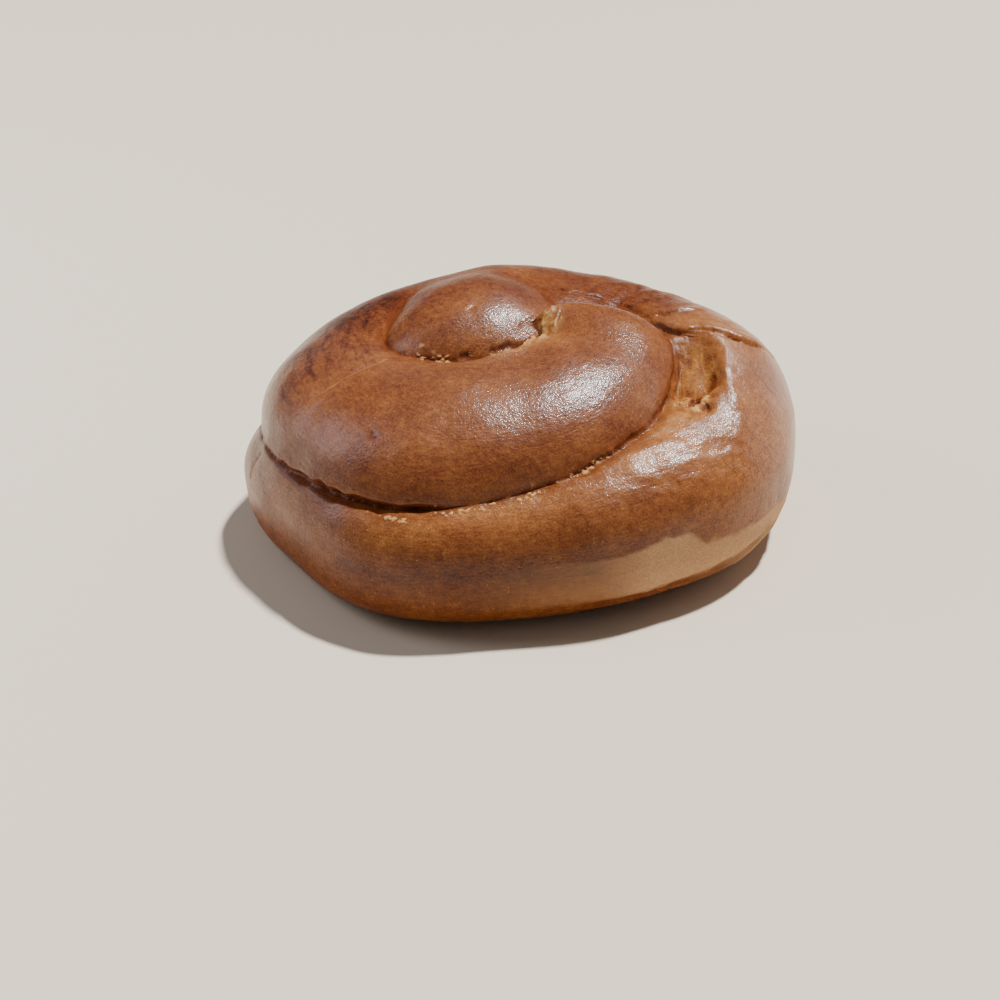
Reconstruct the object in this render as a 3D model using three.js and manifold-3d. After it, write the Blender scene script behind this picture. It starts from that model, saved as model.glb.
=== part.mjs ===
// A round challah: one thick rope of egg dough, coiled up on itself and baked until it has fused.
// The rope starts as a thin tucked-in tail at the left, goes once round the foot of the loaf as the
// outer coil, climbs over its own tail, lies on top as the upper coil and ends in the middle knob.
//
// Millimetres, +Z up. The loaf stands on its flat foot, and its front, where the upper coil hangs
// over the outer one, faces -Y. The origin is the middle of the loaf's foot.

import * as THREE from 'three';
import { mergeVertices } from 'three/addons/utils/BufferGeometryUtils.js';
import Module from 'manifold-3d';

// ---------------------------------------------------------------- driving dimensions

// The axis that the rope is coiled round, seen from above.
const COIL_AXIS = new THREE.Vector2( 0, - 9 );

// Cross-sections of the rope. turn: degrees round the axis, with 0 at the right, 90 at the back,
// 180 at the left and 270 at the front. reach: from the axis to the section's middle. height: of
// the middle above the foot. halfWidth and halfHeight: of the section. droop: how many degrees its
// outer side hangs down.
const OUTER_COIL = [
	section( 150, 93, 12, 12, 13, 0 ),
	section( 180, 97, 24, 22, 25, 2 ),
	section( 210, 87, 27, 26, 29, 3 ),
	section( 240, 83, 27, 32, 28, - 5 ),
	section( 270, 73, 27, 30, 29, - 8 ),
	section( 300, 71, 31, 35, 32, - 9 ),
	section( 330, 75, 34, 40, 35, - 5 ),
	section( 360, 77, 41, 40, 42, 0 ),
	section( 390, 70, 40, 40, 42, 0 ),
	section( 420, 62, 42, 38, 43, - 1 ),
	section( 450, 62, 42, 39, 44, - 1 ),
	section( 480, 64, 41, 40, 42, - 2 ),
	section( 510, 68, 41, 40, 41, - 6 ),
];
const UPPER_COIL = [
	...OUTER_COIL.slice( - 3 ),
	section( 540, 62, 44, 49, 35, - 11 ),
	section( 570, 53, 48, 52, 34, - 3 ),
	section( 600, 49, 51, 53, 34, 9 ),
	section( 630, 41, 56, 44, 30, 13 ),
	section( 660, 38, 63, 39, 25, 11 ),
	section( 690, 35, 66, 34, 23, 4 ),
	section( 720, 32, 70, 33, 23, 0 ),
	section( 750, 18, 73, 22, 21, 0 ),
];

// Where each coil starts and ends. They share the stretch where one passes into the other, and
// there each grows or shrinks a little, so that neither skin lies on the other.
const OUTER_START_TURN = 150;
const OUTER_END_TURN = 490;
const UPPER_START_TURN = 450;
const UPPER_END_TURN = 750;
const SHARED_SHRINK = 0.02;

// The lower half of the outer coil has sunk on to its foot, so it is boxier than an ellipse.
const ROUND_POWER = 2;
const FOOT_POWER = 3;
const FOOT_POWER_FADES_FROM = 480;
const FOOT_POWER_FADES_TO = 540;

// The rope's rounded end on top: the knob, its right shoulder and left corner, the tongue that
// joins it to the upper coil and the bridge where it has fused to the strand behind it. The
// filling is the dough that closes the coil's middle below them.
const KNOB = dome( [ - 17, 16, 67 ], [ 40, 42, 29 ], - 8 );
const SHOULDER = dome( [ 7, 5, 65 ], [ 27, 30, 25 ], 0 );
const CORNER = dome( [ - 30, 5, 66 ], [ 34, 26, 24 ], 35 );
const TONGUE = dome( [ 18, 31, 68 ], [ 28, 21, 18 ], - 20 );
const BRIDGE = dome( [ - 4, 44, 68 ], [ 26, 24, 20 ], - 10 );
const FILLING = dome( [ 0, - 8, 14 ], [ 94, 82, 52 ], 0 );

// Where the crust tore on the outer coil beside the upper coil's right end.
const RIGHT_POCKET = dome( [ 71, - 24, 86 ], [ 17, 25, 12 ], 10 );

// Creases across the rope, each a path of places on its skin: turn, reach and height. A blade of
// this half width and depth is drawn along it.
const FOLD_PATH = [
	[ 372, 58, 80 ],
	[ 368, 68, 82.5 ],
	[ 365, 80, 82.5 ],
	[ 364, 93, 78 ],
	[ 366, 106, 69 ],
];
const FOLD_BLADE = { halfWidth: 2.2, depth: 8 };
const LEFT_CREASE_PATH = [ [ 548, 50, 80 ], [ 556, 66, 80 ], [ 560, 80, 77 ], [ 562, 94, 70 ] ];
const LEFT_CREASE_BLADE = { halfWidth: 1.6, depth: 4 };

// How finely the dough is faceted.
const TURN_STEP = 3;
const SECTION_POINTS = 36;
const END_RINGS = 4;
const END_ROUNDING = 9;
const DOME_SEGMENTS = [ 32, 20 ];
const BLADE_STEPS = 12;

// Corners closer than this are one corner, and the slicing block is larger than any loaf.
const SAME_PLACE = 0.02;
const SLICING_BLOCK = 400;

const CRUST = { color: 0x8a4b22, roughness: 0.35, metalness: 0 };

// ---------------------------------------------------------------- the rope of dough

function section( turn, reach, height, halfWidth, halfHeight, droop ) {

	return { turn, reach, height, halfWidth, halfHeight, droop };

}

function dome( middle, radii, turned ) {

	return { middle, radii, turned };

}

// The section at any turn: a smooth curve through the stations, whose slope at each station is
// that of the line between its neighbours.
function sectionAt( stations, turn ) {

	const last = stations.length - 1;
	const next = stations.findIndex( ( station ) => station.turn > turn );
	const i = next < 1 ? last - 1 : next - 1;
	const from = stations[ i ];
	const to = stations[ i + 1 ];
	const span = to.turn - from.turn;
	const s = ( turn - from.turn ) / span;

	const slope = ( k, key ) => {

		const before = stations[ Math.max( k - 1, 0 ) ];
		const after = stations[ Math.min( k + 1, last ) ];
		return ( after[ key ] - before[ key ] ) / ( after.turn - before.turn );

	};

	const shape = { turn };
	for ( const key of [ 'reach', 'height', 'halfWidth', 'halfHeight', 'droop' ] ) {

		shape[ key ] = ( 2 * s ** 3 - 3 * s ** 2 + 1 ) * from[ key ]
			+ ( s ** 3 - 2 * s ** 2 + s ) * span * slope( i, key )
			+ ( 3 * s ** 2 - 2 * s ** 3 ) * to[ key ]
			+ ( s ** 3 - s ** 2 ) * span * slope( i + 1, key );

	}

	return shape;

}

// A place given by its turn, its reach and its height.
function placeOf( turn, reach, height ) {

	const angle = THREE.MathUtils.degToRad( turn );
	const x = COIL_AXIS.x + reach * Math.cos( angle );
	const y = COIL_AXIS.y + reach * Math.sin( angle );
	return new THREE.Vector3( x, y, height );

}

// A place on the edge of a section. angle: 0 outward, a quarter turn upward.
function edgeOf( shape, angle, size ) {

	const faded = THREE.MathUtils.smoothstep( shape.turn, FOOT_POWER_FADES_FROM, FOOT_POWER_FADES_TO );
	const lowPower = THREE.MathUtils.lerp( FOOT_POWER, ROUND_POWER, faded );
	const power = Math.sin( angle ) < 0 ? ROUND_POWER / lowPower : 1;
	const bent = ( value ) => Math.sign( value ) * Math.abs( value ) ** power;
	const out = size * shape.halfWidth * bent( Math.cos( angle ) );
	const up = size * shape.halfHeight * bent( Math.sin( angle ) );
	const droop = THREE.MathUtils.degToRad( shape.droop );
	const reach = shape.reach + out * Math.cos( droop ) + up * Math.sin( droop );
	const height = shape.height - out * Math.sin( droop ) + up * Math.cos( droop );
	return placeOf( shape.turn, reach, height );

}

// The turns at which a length of rope has a ring of corners, and each ring's size: close together
// and shrinking at both rounded ends.
function ringsOf( startTurn, endTurn ) {

	const rings = [];
	for ( let k = 0; k < END_RINGS; k ++ ) {

		const angle = ( k + 1 ) / ( END_RINGS + 1 ) * Math.PI / 2;
		rings.push( { turn: startTurn + END_ROUNDING * ( 1 - Math.cos( angle ) ), size: Math.sin( angle ) } );

	}

	const straight = endTurn - startTurn - 2 * END_ROUNDING;
	const steps = Math.round( straight / TURN_STEP );
	for ( let k = 0; k <= steps; k ++ ) {

		rings.push( { turn: startTurn + END_ROUNDING + straight * k / steps, size: 1 } );

	}

	for ( let k = END_RINGS - 1; k >= 0; k -- ) {

		rings.push( { turn: endTurn - ( rings[ k ].turn - startTurn ), size: rings[ k ].size } );

	}

	return rings;

}

// One length of rope as a closed skin. shrinks: 1 where it thins through the shared stretch, and
// 0 where it thickens.
function ropeGeometry( stations, startTurn, endTurn, shrinks ) {

	const tipOf = ( turn ) => {

		const shape = sectionAt( stations, turn );
		return placeOf( turn, shape.reach, shape.height );

	};

	const rings = ringsOf( startTurn, endTurn ).map( ( { turn, size } ) => {

		const passed = THREE.MathUtils.smoothstep( turn, UPPER_START_TURN, OUTER_END_TURN );
		const shared = size * ( 1 - SHARED_SHRINK * ( shrinks ? passed : 1 - passed ) );
		const shape = sectionAt( stations, turn );
		const ring = [];
		for ( let k = 0; k < SECTION_POINTS; k ++ ) {

			ring.push( edgeOf( shape, k / SECTION_POINTS * 2 * Math.PI, shared ) );

		}

		return ring;

	} );

	return skinOf( rings, tipOf( startTurn ), tipOf( endTurn ) );

}

// A closed skin over rings of corners, pointed at both ends. Rings run from outward to upward.
function skinOf( rings, startTip, endTip ) {

	const triangles = [];
	const count = rings[ 0 ].length;
	const lastRing = rings[ rings.length - 1 ];
	for ( let k = 0; k < count; k ++ ) {

		const next = ( k + 1 ) % count;
		triangles.push( startTip, rings[ 0 ][ k ], rings[ 0 ][ next ] );
		triangles.push( endTip, lastRing[ next ], lastRing[ k ] );
		for ( let i = 0; i + 1 < rings.length; i ++ ) {

			triangles.push( rings[ i ][ k ], rings[ i + 1 ][ k ], rings[ i ][ next ] );
			triangles.push( rings[ i ][ next ], rings[ i + 1 ][ k ], rings[ i + 1 ][ next ] );

		}

	}

	return new THREE.BufferGeometry().setFromPoints( triangles );

}

function domeGeometry( { middle, radii, turned } ) {

	return new THREE.SphereGeometry( 1, ...DOME_SEGMENTS )
		.rotateX( Math.PI / 2 )
		.scale( ...radii )
		.rotateZ( THREE.MathUtils.degToRad( turned ) )
		.translate( ...middle );

}

// A thin blade along a path on the skin, four-sided, that runs out to a point at both ends.
function bladeGeometry( path, { halfWidth, depth } ) {

	const curve = new THREE.CatmullRomCurve3( path.map( ( place ) => placeOf( ...place ) ) );
	const up = new THREE.Vector3( 0, 0, 1 );
	const rings = [];
	for ( let k = 1; k < BLADE_STEPS; k ++ ) {

		const place = curve.getPoint( k / BLADE_STEPS );
		const side = curve.getTangent( k / BLADE_STEPS ).cross( up ).normalize();
		const size = Math.sin( Math.PI * k / BLADE_STEPS ) ** 0.5;
		const corner = ( across, above ) => place.clone()
			.addScaledVector( side, across * halfWidth * size )
			.addScaledVector( up, above * depth * size );
		rings.push( [ corner( 1, 0 ), corner( 0, 1 ), corner( - 1, 0 ), corner( 0, - 1 ) ] );

	}

	return skinOf( rings, curve.getPoint( 0 ), curve.getPoint( 1 ) );

}

// ---------------------------------------------------------------- joining and cutting

const wasm = await Module();
wasm.setup();

// A closed geometry as a solid, with the corners that its triangles share made one.
function solidOf( geometry ) {

	const bare = geometry.clone();
	bare.deleteAttribute( 'normal' );
	bare.deleteAttribute( 'uv' );
	const merged = mergeVertices( bare, SAME_PLACE );
	return new wasm.Manifold( new wasm.Mesh( {
		numProp: 3,
		vertProperties: merged.attributes.position.array,
		triVerts: new Uint32Array( merged.index.array ),
	} ) );

}

function join( solid, geometries ) {

	return geometries.reduce( ( whole, geometry ) => whole.add( solidOf( geometry ) ), solid );

}

function cut( solid, geometries ) {

	return geometries.reduce( ( whole, geometry ) => whole.subtract( solidOf( geometry ) ), solid );

}

// The solid's skin as a geometry.
function geometryOf( solid ) {

	const mesh = solid.getMesh();
	const geometry = new THREE.BufferGeometry();
	geometry.setAttribute( 'position', new THREE.BufferAttribute( mesh.vertProperties, 3 ) );
	geometry.setIndex( new THREE.BufferAttribute( mesh.triVerts, 1 ) );
	return geometry;

}

function buildLoaf() {

	const tornOuterCoil = cut( solidOf( ropeGeometry( OUTER_COIL, OUTER_START_TURN, OUTER_END_TURN, true ) ), [
		domeGeometry( RIGHT_POCKET ),
		bladeGeometry( FOLD_PATH, FOLD_BLADE ),
	] );
	const coiled = join( tornOuterCoil, [
		ropeGeometry( UPPER_COIL, UPPER_START_TURN, UPPER_END_TURN, false ),
		domeGeometry( KNOB ),
		domeGeometry( SHOULDER ),
		domeGeometry( CORNER ),
		domeGeometry( TONGUE ),
		domeGeometry( BRIDGE ),
		domeGeometry( FILLING ),
	] );
	const creased = cut( coiled, [ bladeGeometry( LEFT_CREASE_PATH, LEFT_CREASE_BLADE ) ] );
	const aboveFoot = new THREE.BoxGeometry( SLICING_BLOCK, SLICING_BLOCK, SLICING_BLOCK )
		.translate( 0, 0, SLICING_BLOCK / 2 );
	return geometryOf( creased.intersect( solidOf( aboveFoot ) ) );

}

// Moves a geometry so that the middle of its box, at the foot, is the origin.
function centreOnFoot( geometry ) {

	geometry.computeBoundingBox();
	const middle = geometry.boundingBox.getCenter( new THREE.Vector3() );
	return geometry.translate( - middle.x, - middle.y, 0 );

}

// ---------------------------------------------------------------- the loaf

const geometry = centreOnFoot( buildLoaf() );
geometry.computeVertexNormals();

const challah = new THREE.Mesh( geometry, new THREE.MeshStandardMaterial( CRUST ) );
challah.name = 'challah';

const loaf = new THREE.Group();
loaf.add( challah );

export default loaf;
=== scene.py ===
import math

import bpy
import numpy as np
from mathutils import Matrix, Vector


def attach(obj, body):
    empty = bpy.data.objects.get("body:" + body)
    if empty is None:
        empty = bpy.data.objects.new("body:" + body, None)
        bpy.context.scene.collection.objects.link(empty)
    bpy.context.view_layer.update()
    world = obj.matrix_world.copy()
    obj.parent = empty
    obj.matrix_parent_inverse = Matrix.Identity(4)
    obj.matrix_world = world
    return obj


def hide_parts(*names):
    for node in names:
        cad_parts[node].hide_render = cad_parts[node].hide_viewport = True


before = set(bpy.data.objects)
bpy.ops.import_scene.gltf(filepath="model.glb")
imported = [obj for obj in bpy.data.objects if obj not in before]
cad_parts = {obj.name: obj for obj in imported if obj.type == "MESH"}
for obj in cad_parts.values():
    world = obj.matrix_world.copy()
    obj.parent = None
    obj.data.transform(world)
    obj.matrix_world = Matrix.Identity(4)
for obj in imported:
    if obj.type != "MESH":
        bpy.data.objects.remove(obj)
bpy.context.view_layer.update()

bl_info = {
    "name": "Round challah",
    "version": (1, 0, 0),
    "blender": (4, 5, 0),
    "location": "3D View > Sidebar > Challah",
    "description": "Builds a round egg-washed challah coiled from one rope, and a studio for it",
    "category": "Add Mesh",
}

MM = 0.001
FULL_TURN = 360

# ---------------------------------------------------------------- the coiled rope, in millimetres
# The rope is worked out round its own axis and moved on to the middle of its foot at the end.

COIL_AXIS = np.array([0.0, -9.0])
LOAF_MIDDLE = np.array([-1.0, -11.3, 0.0])

# Cross-sections of the one long rope. turn: degrees round the axis, with 0 at the right and 270 at
# the front; reach: from the axis; height: above the foot; half width; half height; droop: how many
# degrees the outer side hangs down.
STATIONS = np.array([
    [150, 93, 12, 12, 13, 0],
    [180, 97, 24, 22, 25, 2],
    [210, 87, 27, 26, 29, 3],
    [240, 83, 27, 32, 28, -5],
    [270, 73, 27, 30, 29, -8],
    [300, 71, 31, 35, 32, -9],
    [330, 75, 34, 40, 35, -5],
    [360, 77, 41, 40, 42, 0],
    [390, 70, 40, 40, 42, 0],
    [420, 62, 42, 38, 43, -1],
    [450, 62, 42, 39, 44, -1],
    [480, 64, 41, 40, 42, -2],
    [510, 68, 41, 40, 41, -6],
    [540, 62, 44, 49, 35, -11],
    [570, 53, 48, 52, 34, -3],
    [600, 49, 51, 53, 34, 9],
    [630, 41, 56, 44, 30, 13],
    [660, 38, 63, 39, 25, 11],
    [690, 35, 66, 34, 23, 4],
    [720, 32, 70, 33, 23, 0],
    [750, 18, 73, 22, 21, 0],
], float)
START_TURN = STATIONS[0, 0]
END_TURN = STATIONS[-1, 0]
END_ROUNDING = 9.0

# The lower half of the rope on the foot is boxier than an ellipse, up to where it climbs.
ROUND_POWER = 2.0
FOOT_POWER = 3.0
CLIMB_TURNS = (480.0, 540.0)

# The turn from which the rope is the upper lap, clear of the torn pocket below it, and how many
# laps round the axis it has begun by its end.
UPPER_TURN = 600
LAPS = 3

# Swellings of the rope's end on top, each a middle, three radii and a turn in degrees: the knob,
# its right shoulder and left corner, the tongue that leads into it, the bridge where it has fused
# to the strand behind, and the dough that fills the loaf's middle.
KNOB = ((-17, 16, 67), (40, 42, 29), -8)
SHOULDER = ((7, 2, 63), (31, 27, 22), -15)
CORNER = ((-30, 5, 66), (34, 26, 24), 35)
TONGUE = ((18, 31, 68), (28, 21, 18), -20)
BRIDGE = ((-4, 44, 68), (26, 24, 20), -10)
FILLING = ((0, -8, 14), (94, 82, 52), 0)
SWELLINGS = (KNOB, SHOULDER, CORNER, TONGUE, BRIDGE, FILLING)

# How widely each swelling has melted into the dough beside it.
SHOULDER_MELT = 8
CORNER_MELT = 6
TONGUE_MELT = 5
BRIDGE_MELT = 8


def eased(low, high, values):
    """0 below low, 1 above high and smooth between them."""
    share = np.clip((np.asarray(values, float) - low) / (high - low), 0, 1)
    return share * share * (3 - 2 * share)


def between(begin, full, wane, end, values):
    """1 from full to wane, and 0 before begin and after end."""
    return eased(begin, full, values) * eased(end, wane, values)


def bell(distance, width):
    """1 at no distance, falling off over a width."""
    return np.exp(-((distance / width) ** 2))


def sections_at(turns):
    """Reach, height, half width, half height and droop at each turn, as five arrays: a smooth curve
    through the stations, whose slope at each is that of the line between its neighbours."""
    knots, values = STATIONS[:, 0], STATIONS[:, 1:]
    slopes = np.empty_like(values)
    slopes[1:-1] = (values[2:] - values[:-2]) / (knots[2:] - knots[:-2])[:, None]
    slopes[0] = (values[1] - values[0]) / (knots[1] - knots[0])
    slopes[-1] = (values[-1] - values[-2]) / (knots[-1] - knots[-2])
    turns = np.clip(turns, START_TURN, END_TURN)
    i = np.clip(np.searchsorted(knots, turns, side="right") - 1, 0, len(knots) - 2)
    span = (knots[i + 1] - knots[i])[:, None]
    s = (turns - knots[i])[:, None] / span
    curve = (
        (2 * s**3 - 3 * s**2 + 1) * values[i]
        + (s**3 - 2 * s**2 + s) * span * slopes[i]
        + (3 * s**2 - 2 * s**3) * values[i + 1]
        + (s**3 - s**2) * span * slopes[i + 1]
    )
    reach, height, half_width, half_height, droop = curve.T
    return reach, height, half_width, half_height, np.radians(droop)


def low_power(turns):
    """How boxy the lower half of the section is: 2 is an ellipse, and more is boxier."""
    return FOOT_POWER + (ROUND_POWER - FOOT_POWER) * eased(*CLIMB_TURNS, turns)


def rope_places(turns, angles, sizes):
    """Places on the rope's skin. angles: round the section, 0 outward and a quarter turn upward."""
    reach, height, half_width, half_height, droop = sections_at(turns)
    power = np.where(np.sin(angles) < 0, ROUND_POWER / low_power(turns), 1.0)
    out = sizes * half_width * np.sign(np.cos(angles)) * np.abs(np.cos(angles)) ** power
    up = sizes * half_height * np.sign(np.sin(angles)) * np.abs(np.sin(angles)) ** power
    far = reach + out * np.cos(droop) + up * np.sin(droop)
    high = height - out * np.sin(droop) + up * np.cos(droop)
    way = np.radians(turns)
    return np.stack([
        COIL_AXIS[0] + far * np.cos(way),
        COIL_AXIS[1] + far * np.sin(way),
        np.maximum(high, 0),
    ], axis=1)


def rope_gap(points, lap):
    """How far points are outside the rope on a lap round the axis, about in millimetres and less
    than nothing inside; and their turns and angles round the section."""
    x = points[:, 0] - COIL_AXIS[0]
    y = points[:, 1] - COIL_AXIS[1]
    turns = np.degrees(np.arctan2(y, x)) % FULL_TURN + FULL_TURN * lap
    reach, height, half_width, half_height, droop = sections_at(turns)
    far = np.hypot(x, y) - reach
    high = points[:, 2] - height
    out = (far * np.cos(droop) - high * np.sin(droop)) / half_width
    up = (far * np.sin(droop) + high * np.cos(droop)) / half_height
    power = np.where(up < 0, low_power(turns), ROUND_POWER)
    round_section = (np.abs(out) ** power + np.abs(up) ** power) ** (1 / power)
    past_start = (START_TURN + END_ROUNDING - turns) / END_ROUNDING
    past_end = (turns - END_TURN + END_ROUNDING) / END_ROUNDING
    past = np.maximum(np.maximum(past_start, past_end), 0)
    value = np.sqrt(round_section**2 + past**2)
    return (value - 1) * np.minimum(half_width, half_height), turns, np.arctan2(up, out)


def swelling_gap(points, swelling):
    """How far points are outside a swelling, about in millimetres."""
    middle, radii, turned = swelling
    way = math.radians(turned)
    x, y, z = (points - np.array(middle, float)).T
    along = x * math.cos(way) + y * math.sin(way)
    across = y * math.cos(way) - x * math.sin(way)
    value = np.sqrt((along / radii[0]) ** 2 + (across / radii[1]) ** 2 + (z / radii[2]) ** 2)
    return (value - 1) * min(radii)


def melted(one, other, reach):
    """The smaller of two gaps, blended where they are closer than the reach."""
    near = np.clip(reach - np.abs(one - other), 0, None) / reach
    return np.minimum(one, other) - near * near * reach / 4


# ---------------------------------------------------------------- seams, tears and folds

# How deep and how wide the seam is between the rope's laps, in millimetres by turn round the axis:
# a notch at the left, open at the left front, where the upper lap hangs over, and a groove at the
# right. The width is how far from the seam the skin begins to turn in, and the melt is how widely
# the laps have fused beside it.
SEAM_TURNS = (0, 30, 60, 150, 184, 195, 203, 212, 224, 236, 246, 256, 268, 278, 295, 315, 335, 360)
SEAM_DEPTHS = (3, 2, 0, 0, 3.2, 2.0, 2.2, 5, 6.5, 6, 4.5, 3.2, 2.4, 2.4, 2.6, 2.6, 2.6, 3)
SEAM_WIDTHS = (2, 2, 2, 2, 1.6, 1.1, 1.2, 2.0, 2.8, 2.6, 2, 1.5, 1.6, 2.4, 3.4, 3.2, 2.2, 2)
SEAM_MELTS = (1, 1, 1, 1, 3, 7, 8, 6, 4, 2, 2, 2, 2, 3, 5, 5, 2, 1)

# The same for the seam round the knob, by the angle round the knob's middle, and how widely the
# knob has melted into the dough beside it.
KNOB_ANGLES = (-180, -150, -120, -90, -60, -45, -25, 0, 25, 45, 60, 120, 150, 180)
KNOB_DEPTHS = (1.5, 2, 2, 2.4, 2.8, 2.6, 1.4, 1.0, 0.8, 0, 0, 0, 1, 1.5)
KNOB_WIDTHS = (1.6, 1.6, 1.6, 1.8, 2.0, 2.2, 2.2, 2, 2, 2, 2, 2, 1.6, 1.6)
KNOB_MELTS = (1, 1, 1, 1, 1, 1, 1, 2, 5, 9, 10, 10, 2, 1)

# How far inside or outside either part a seam is still followed, the depth from which it counts as
# a whole seam, and how much wider it counts than it turns in.
SEAM_REACH = 6
WHOLE_DEPTH = 2
SHARE_WIDTH = 1.3

# Creases in the skin, each a path of places with the raised lip on its left: the fold where the
# back strand laps over the right of the rope, the tuck below it, the short wrinkle above it, the
# seam between the rope's end and the back strand, and the crease across the left of the upper lap.
FOLD = ((74, -7, 83), (79, -8, 83), (90, -11, 80), (97, -10, 77), (106, -5, 70))
TUCK = ((56, 9, 80), (61, -2, 81), (68, -9, 82), (77, -10, 83))
WRINKLE = ((55, 12, 80), (65, 11, 82.5), (77, 13, 83))
BACK_SEAM = ((11, 34, 88), (22, 29, 86), (33, 28, 84), (42, 26, 82), (49, 22, 80), (56, 10, 80))
LEFT_CREASE = ((-54, -23, 80), (-61, -31, 81), (-71, -37, 79), (-79, -42, 76), (-86, -44, 73))
FOOT_LIP = (
    (20, -108, 10),
    (49, -101, 11),
    (70, -91, 13),
    (89, -77, 15),
    (103, -62, 17),
    (110, -46, 18),
)
# path, groove depth, groove half width, lip height, how far the lip's crest is from the groove
CREASES = (
    (FOLD, 2.2, 0.9, 1.4, 3.4),
    (TUCK, 2.0, 1.1, 1.1, 3.2),
    (WRINKLE, 1.2, 0.9, 0.8, 2.4),
    (BACK_SEAM, 1.1, 0.9, 0.4, 3.0),
    (LEFT_CREASE, 1.0, 1.6, 0.3, 3.6),
    (FOOT_LIP, 1.6, 1.8, 1.0, 2.6),
)

# The torn pocket in the rope's right, beside the upper lap's end: its middle, half sizes and turn
# in plan, its depth, how far its edge may stray from them and how low it reaches; and the fibres
# and the ridge that stand up in it and beside it, and its holes.
POCKET_MIDDLE = (70, -32)
POCKET_HALVES = (11, 21)
POCKET_TURNED = -10
POCKET_DEPTH = 6
POCKET_MARGIN = 14
POCKET_FLOOR = 55
POCKET_FIBRES = (
    ((65, -12, 79), (72, -12, 80), (78, -20, 78)),
    ((65, -32, 71), (71, -30, 72), (75, -22, 75)),
    ((74, -34, 71), (79, -27, 74)),
    ((62, -44, 67), (68, -41, 67), (76, -46, 68)),
    ((60, -50, 67), (68, -48, 67), (76, -53, 67)),
)
POCKET_RIDGE = ((80, -24, 78), (84, -32, 75), (86, -40, 71), (87, -48, 67), (87, -60, 61))
POCKET_HOLES = ((71, -44, 66), (75, -50, 67), (58, -50, 69))
FIBRE_WIDTH = 0.8
FIBRE_HEIGHT = 1.6
HOLE_WIDTH = 2.2
HOLE_DEPTH = 3.0
RIDGE_WIDTH = 4.2
RIDGE_HEIGHT = 0.9

# Where the knob has torn from the upper lap at its right, leaving upright fibres.
KNOB_TEAR = ((-5, -25, 84), (2, -22, 86), (8, -18, 87), (12, -11, 89), (13, -2, 90))
TEAR_WIDTH = 4.4

# Marks on the crust, each a path, how wide it is, how deep, and how much darker than the crust
# round it: scratches on the knob, a scar and a pit at the left, blackened and stained streaks, and
# the recess, the pit and the pale lip at the knob's front. The recess is darkened with painted
# shade, and the lip is paler with a painted highlight. No mark is further from its path's start
# than its reach.
MARK_REACH = 30
MARKS = (
    (((-22, -4, 92), (-18, 0, 94)), 0.7, 0.4, -0.3),
    (((-1, 39, 91), (3, 49, 89)), 0.8, 0.4, -0.2),
    (((-114, -34, 32), (-109, -36, 43)), 1.2, 0.6, -0.3),
    (((-59, -75, 72), (-58, -76, 71)), 1.3, 0.7, 0.2),
    (((-70, -88, 48), (-62, -95, 47), (-54, -106, 40)), 3.2, 0.0, -0.16),
    (((-87, -24, 76), (-84, -3, 77)), 1.4, 0.0, 0.22),
    (((-80, -18, 79), (-79, -2, 79)), 1.1, 0.0, 0.22),
    (((-74, -20, 80), (-73, -6, 80)), 0.9, 0.0, 0.2),
    (((-66, -12, 81), (-62, 2, 82)), 1.0, 0.0, 0.16),
    # The recess at the knob's front: painted shade, darker than the crust round it.
    (((-11, -20, 81), (-4, -18, 82), (2, -20, 83)), 1.8, 1.0, 0.5),
    (((-24, -22, 80), (-22, -22, 80)), 1.5, 1.2, 0.5),
    # The pale lip: a painted highlight along the crest under the knob's front.
    (((-18, -26, 82), (-12, -31, 84), (-4, -30, 85), (4, -29, 86)), 0.8, -0.4, -0.45),
)

# The unglazed patch at the foot of the lower right: its top edge by turn, its low edge, how bare it
# is by turn, with a thin glaze over its left, where it ends, and how soft its edges are.
PATCH_TURNS = (262, 275, 284, 292, 301, 307, 311, 319, 333, 345, 352)
PATCH_TOPS = (28, 32, 32, 32, 35.5, 36, 29, 28, 27, 25, 12)
PATCH_LOW = 13
BARING_TURNS = (255, 272, 286, 298)
BARING_SHARES = (0, 0.15, 0.35, 1)
PATCH_END_TURNS = (352, 348)
PATCH_TOP_EDGE = 0.7
PATCH_LOW_EDGE = 1.5

# Places along which crumbs of paler dough have broken out, the front of the knob and under the main
# seam: how high the crumbs stand, and each path and how far they scatter from it.
CRUMB_HEIGHT = 0.4
CRUMBS = (
    (((-42, -19, 78), (-35, -22, 78), (-24, -24, 79)), 2.2),
    (((-22, -25, 80), (-13, -25, 81), (-4, -25, 82)), 2.2),
    (((-58, -97, 47), (-50, -101, 47), (-42, -102, 48)), 2.2),
    (((-36, -102, 49), (-21, -100, 50), (-8, -97, 52)), 1.7),
    (((-5, -97, 52), (3, -94, 54), (8, -92, 55)), 2.0),
    (((12, -90, 56), (24, -85, 59), (36, -77, 62)), 1.8),
)

# How the dough's skin rises and falls, slowly all over, and in wrinkles over the rope's right
# shoulder: the height, the size and the seed of each wave; and how high the wrinkles are in all,
# and at which turn.
DOUGH_WAVES = ((0.7, 34.0, 51), (0.4, 15.0, 52), (0.13, 6.5, 53))
WRINKLE_WAVES = ((1.0, (7.0, 4.0, 2.4), 54), (0.6, (3.5, 2.2, 1.6), 55))
WRINKLE_HEIGHT = 0.36
SHOULDER_TURN = 312

# The tucks at the back right: how they slant in plan, their size, height and turn.
TUCKS_SLANT = np.array([[0.8, 0.6, 0], [-0.6, 0.8, 0], [0, 0, 1]])
TUCKS_SIZE = (4.0, 16.0, 8.0)
TUCKS_HEIGHT = 0.5
TUCKS_TURN = 396

# Large odd numbers that mix up the digits of a cell's place and a seed.
MIXERS = (73856093, 19349663, 83492791, 2654435761, 1274126177)


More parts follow.
